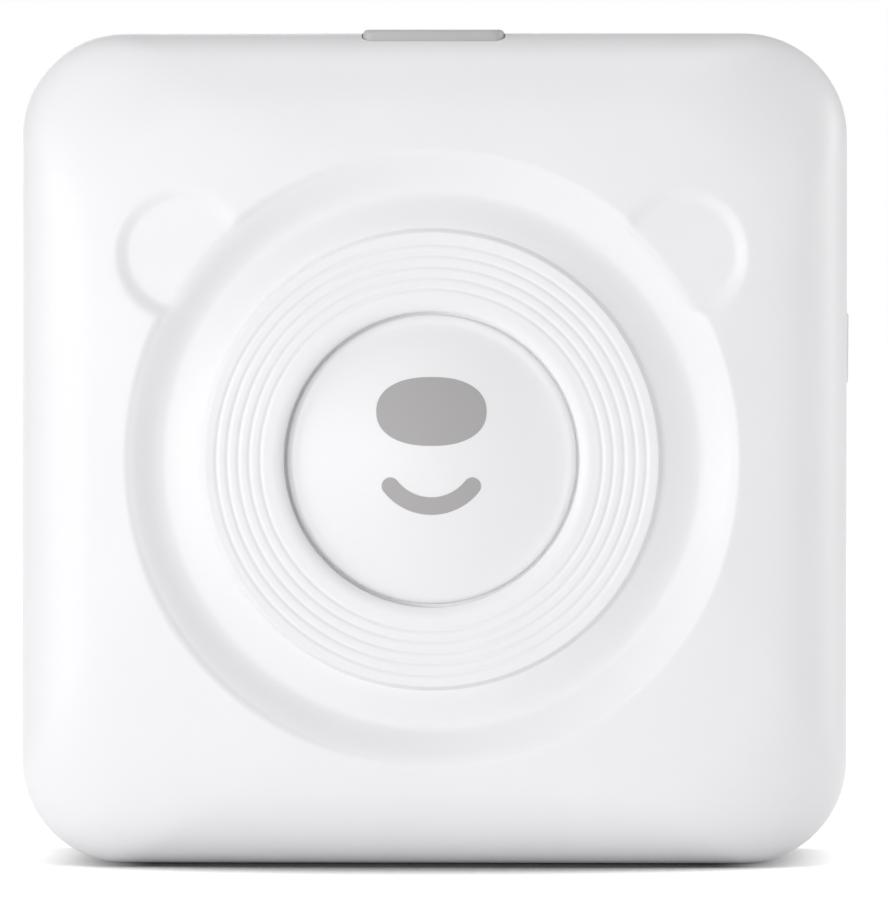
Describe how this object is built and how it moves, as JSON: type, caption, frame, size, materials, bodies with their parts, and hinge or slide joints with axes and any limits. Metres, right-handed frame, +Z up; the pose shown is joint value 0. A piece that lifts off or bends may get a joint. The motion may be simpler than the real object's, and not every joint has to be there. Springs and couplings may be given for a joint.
{
  "type": "pocket printer",
  "caption": "Small square thermal printer with a crowned front cover that hinges down, a round dished face with a domed cap, and a push tab on top.",
  "frame": {"origin": "middle of the bottom face that the printer stands on", "axes": "+Z up through the paper slot, -Y out of the front cover's face, +X towards the side with the power key"},
  "size_m": [0.0898, 0.0404, 0.0904],
  "materials": {
    "white_abs": "satin moulded ABS",
    "grey_abs": "satin moulded ABS, grey",
    "inner_abs": "moulded ABS, lightly textured",
    "steel": "plain machined steel",
    "plated_steel": "nickel plated sheet steel",
    "spring_steel": "bright spring strip",
    "brass": "turned brass",
    "aluminium": "milled aluminium",
    "ceramic": "glazed alumina strip",
    "rubber": "ground platen rubber",
    "acetal": "moulded acetal",
    "board": "green solder mask on glass fibre",
    "chips": "black moulded packages",
    "nylon": "natural nylon",
    "black_nylon": "black nylon",
    "battery_wrap": "foil pouch",
    "lead_sheath": "silicone insulation",
    "flat_cable": "flat film cable"
  },
  "bodies": {
    "case": {"rear_shell": "white_abs", "hinge_pins": "steel", "chassis": "inner_abs", "chassis_screws": "steel", "board_screws": "steel", "mainboard": "board", "board_components": "chips", "usb_socket": "plated_steel", "power_switch": "black_nylon", "battery": "battery_wrap", "battery_leads": "lead_sheath", "stepper_motor": "plated_steel", "motor_screw": "steel", "gear_axles": "steel", "head_axle": "steel", "head_cable": "flat_cable", "head_spring": "spring_steel", "tear_blade": "plated_steel", "paper_sensor": "black_nylon", "cover_switch": "black_nylon"},
    "cover": {"front_cover": "white_abs", "nose_cap": "white_abs", "cover_liner": "inner_abs", "liner_screws": "steel", "platen_bushes": "acetal", "latch_springs": "spring_steel"},
    "platen": {"platen_shaft": "steel", "platen_rubber": "rubber", "platen_gear": "acetal"},
    "latch": {"latch_bar": "inner_abs", "open_button": "grey_abs"},
    "power": {"power_key": "white_abs"},
    "head": {"head_plate": "aluminium", "head_ceramic": "ceramic", "head_connector": "nylon"},
    "idler": {"idler_gear": "acetal"},
    "reduction": {"reduction_gear": "acetal"},
    "pinion": {"motor_pinion": "brass", "motor_shaft": "steel"}
  },
  "joints": [
    {"name": "cover_open", "type": "hinge", "parent": "case", "child": "cover", "pos_m": [0, -0.001, 0.0025], "axis": [1, 0, 0], "range_deg": [0, 90]},
    {"name": "button_press", "type": "slide", "parent": "cover", "child": "latch", "axis": [0, 0, -1], "range_m": [0, 0.0012], "stiffness_N_per_m": 800, "springref_m": -0.001, "deforming": ["latch_springs"]},
    {"name": "power_press", "type": "slide", "parent": "case", "child": "power", "axis": [-1, 0, 0], "range_m": [0, 0.0004], "stiffness_N_per_m": 2500, "springref_m": -0.0002},
    {"name": "head_rock", "type": "hinge", "parent": "case", "child": "head", "pos_m": [0, 0.003, 0.0665], "axis": [-1, 0, 0], "range_deg": [0, 1.5], "stiffness_Nm_per_rad": 2, "springref_deg": -2.86, "deforming": ["head_spring", "head_cable"]},
    {"name": "platen_spin", "type": "hinge", "parent": "cover", "child": "platen", "pos_m": [0, -0.0061, 0.076], "axis": [1, 0, 0], "continuous": true},
    {"name": "idler_spin", "type": "hinge", "parent": "case", "child": "idler", "pos_m": [0, 0.00251, 0.07199], "axis": [1, 0, 0], "continuous": true},
    {"name": "reduction_spin", "type": "hinge", "parent": "case", "child": "reduction", "pos_m": [0, 0.00638, 0.06676], "axis": [1, 0, 0], "continuous": true},
    {"name": "pinion_spin", "type": "hinge", "parent": "case", "child": "pinion", "pos_m": [0, 0.0086, 0.0565], "axis": [1, 0, 0], "continuous": true}
  ],
  "couplings": [
    {"joint": "idler_spin", "follows": "platen_spin", "ratio": -1.7143},
    {"joint": "reduction_spin", "follows": "platen_spin", "ratio": 2},
    {"joint": "pinion_spin", "follows": "platen_spin", "ratio": -5}
  ]
}
